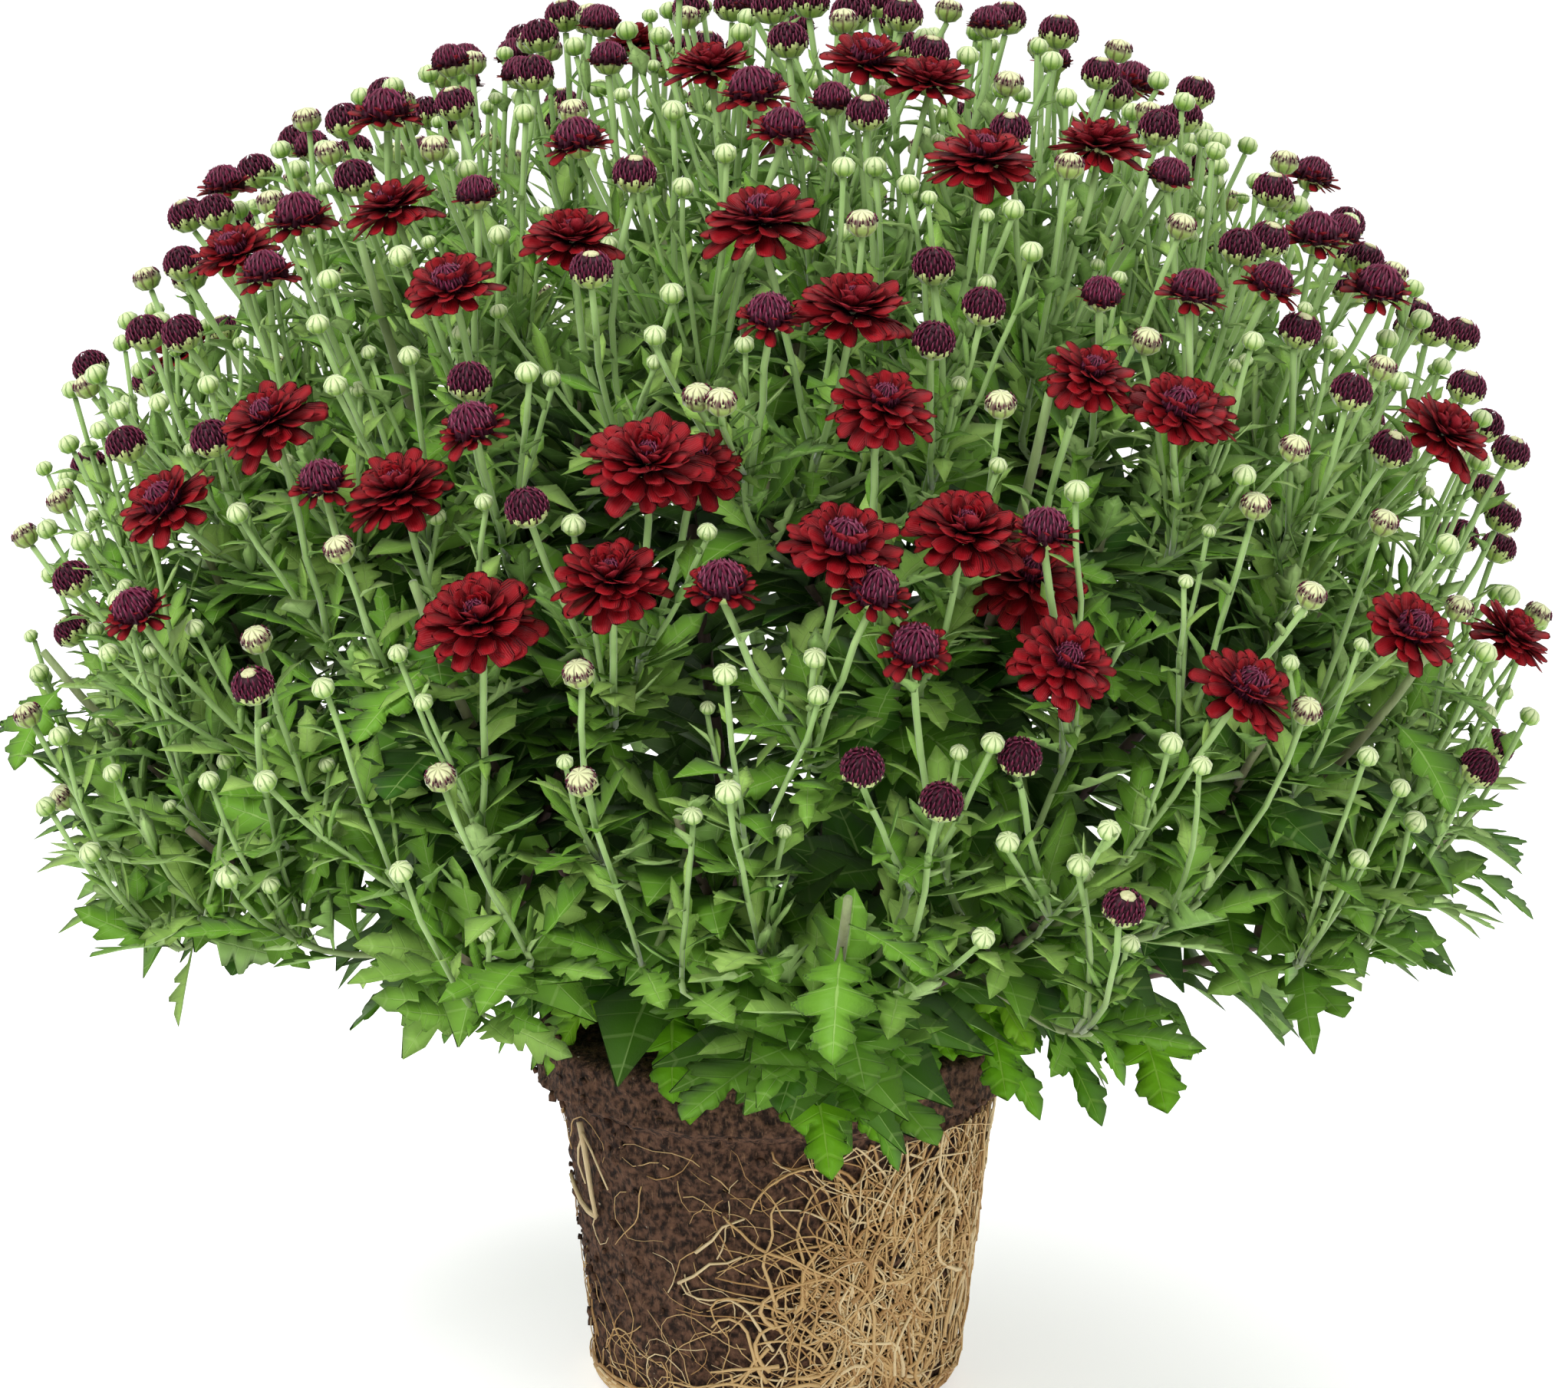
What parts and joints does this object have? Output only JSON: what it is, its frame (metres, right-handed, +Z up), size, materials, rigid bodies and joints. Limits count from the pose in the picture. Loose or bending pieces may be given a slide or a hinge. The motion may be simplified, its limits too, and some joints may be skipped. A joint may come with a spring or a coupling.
{
  "type": "chrysanthemum plant with bare root ball",
  "caption": "Dome-shaped garden chrysanthemum in bud and flower, standing on the bare root ball that kept the shape of its nursery pot.",
  "frame": {"origin": "middle of the root ball's flat underside", "axes": "+Z up along the plant's axis, -Y towards the side seen in front"},
  "size_m": [0.6245, 0.62, 0.5495],
  "materials": {
    "soil": "moist dark peat, crumbly and matte",
    "roots": "pale tan fine roots, dry and matte",
    "foliage": "green leaves, pale green stalks and buds, satin",
    "petals": "crimson velvety petals, matte with a soft sheen"
  },
  "bodies": {
    "root": {"root_ball": "soil", "root_mat": "roots", "spray_01": "foliage", "spray_02": "foliage", "spray_03": "foliage", "spray_04": "foliage", "spray_05": "foliage", "spray_06": "foliage", "spray_07": "foliage", "spray_08": "foliage", "spray_09": "foliage", "spray_10": "foliage", "spray_11": "foliage", "spray_12": "foliage", "spray_13": "foliage", "spray_14": "foliage", "spray_15": "foliage", "bloom_01": "petals", "bloom_02": "petals", "bloom_03": "petals", "bloom_04": "petals", "bloom_05": "petals", "bloom_06": "petals", "bloom_07": "petals", "bloom_08": "petals", "bloom_09": "petals", "bloom_10": "petals", "bloom_11": "petals", "bloom_12": "petals", "bloom_13": "petals", "bloom_14": "petals", "bloom_15": "petals", "bloom_16": "petals", "bloom_17": "petals", "bloom_18": "petals", "bloom_19": "petals", "bloom_20": "petals", "bloom_21": "petals", "bloom_22": "petals", "bloom_23": "petals", "bloom_24": "petals", "bloom_25": "petals", "bloom_26": "petals", "bloom_27": "petals", "bloom_28": "petals", "bloom_29": "petals", "bloom_30": "petals", "bloom_31": "petals", "bloom_32": "petals", "bloom_33": "petals", "bloom_34": "petals", "bloom_35": "petals", "bloom_36": "petals", "bloom_37": "petals", "bloom_38": "petals"}
  },
  "joints": []
}
